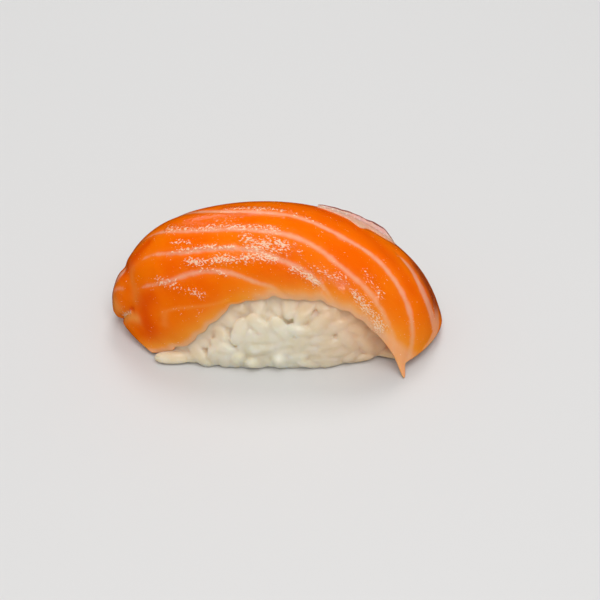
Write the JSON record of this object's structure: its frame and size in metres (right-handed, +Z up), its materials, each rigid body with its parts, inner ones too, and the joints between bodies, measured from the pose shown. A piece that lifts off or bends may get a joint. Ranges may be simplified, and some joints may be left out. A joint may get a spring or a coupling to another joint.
{
  "type": "salmon nigiri",
  "caption": "Salmon nigiri: a thick slice of raw salmon with pale fat lines, draped over a pressed oblong block of sushi rice.",
  "frame": {"origin": "on the surface it rests on, under the middle of the whole piece's outline", "axes": "+X along the piece from the lip of the slice's pushed-in end to its free hanging end, +Y from the front edge to the back edge, +Z up"},
  "size_m": [0.0708, 0.0314, 0.0291],
  "materials": {
    "salmon": "wet translucent raw salmon, orange with pale pinkish fat lines and a moist sheen",
    "rice": "moist, slightly translucent cooked sushi rice, warm white"
  },
  "bodies": {
    "root": {"salmon_slice": "salmon", "rice_block": "rice"}
  },
  "joints": []
}
